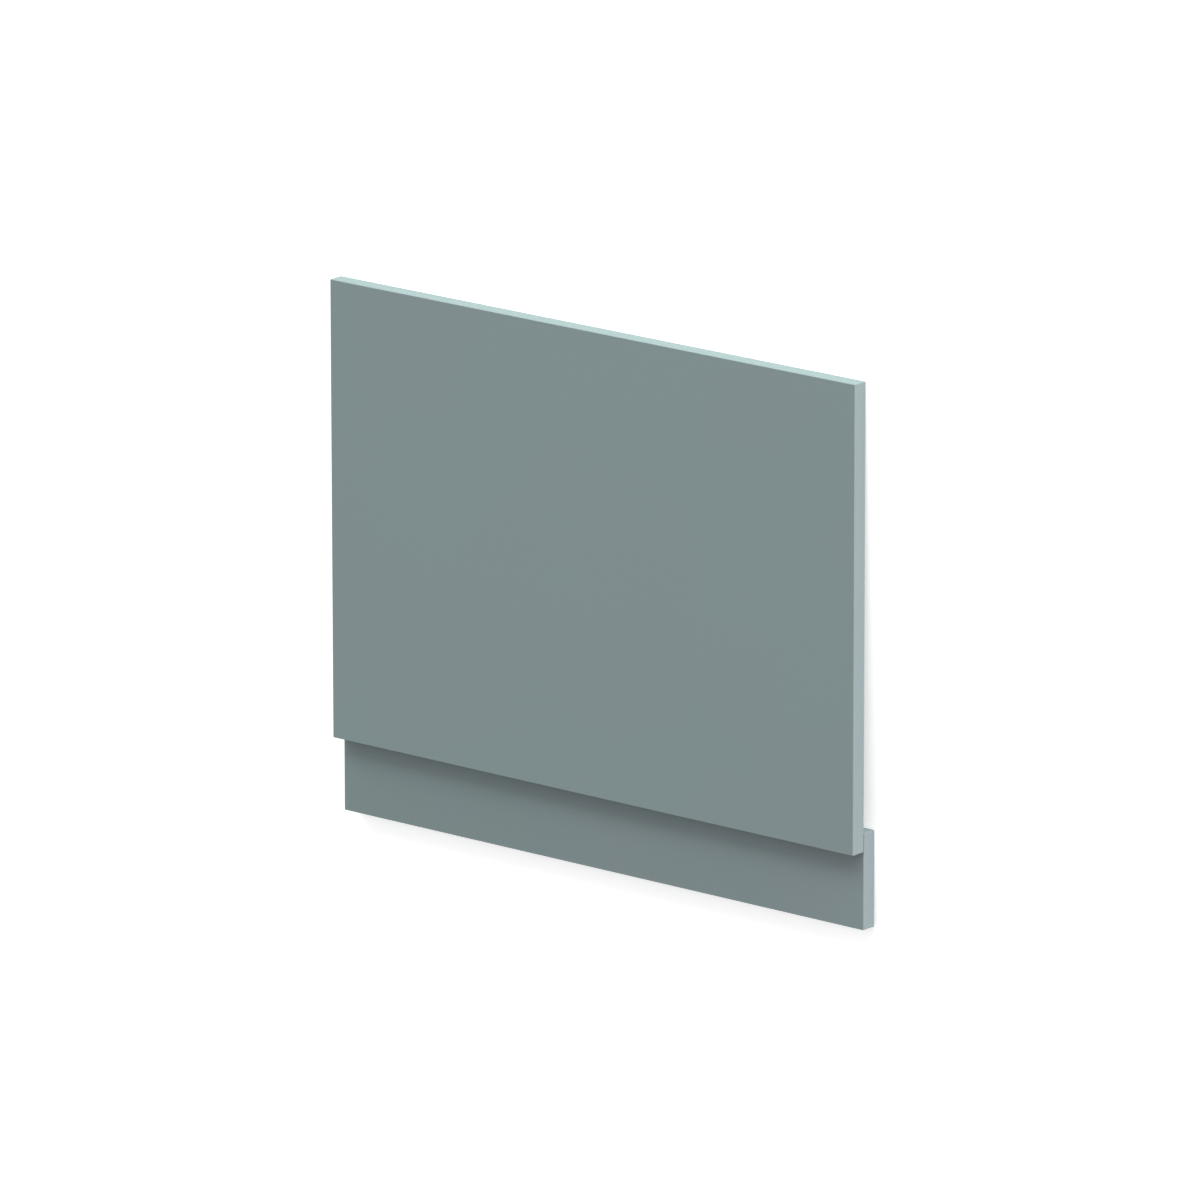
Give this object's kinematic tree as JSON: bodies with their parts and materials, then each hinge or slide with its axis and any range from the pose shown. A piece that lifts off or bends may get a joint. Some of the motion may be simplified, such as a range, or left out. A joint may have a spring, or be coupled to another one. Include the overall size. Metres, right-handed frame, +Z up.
{
  "type": "bath end panel",
  "caption": "Flat bath end panel with square edges and a set-back plinth board lapped behind its lower edge, satin grey-green.",
  "frame": {"origin": "bottom centre of the bounding box, on the floor that the panel lies on", "axes": "+X to the right seen from the front, +Y towards the panel's top edge, +Z up, out of the front face. The boards lean 2.15 degrees about X, as they come to rest on two back arrises."},
  "size_m": [0.7, 0.585, 0.0367],
  "materials": {
    "panel_finish": "satin",
    "screw_steel": "zinc plated"
  },
  "bodies": {
    "root": {"end_panel": "panel_finish", "plinth": "panel_finish", "plinth_screw_1": "screw_steel", "plinth_screw_2": "screw_steel", "plinth_screw_3": "screw_steel", "plinth_screw_4": "screw_steel"}
  },
  "joints": []
}
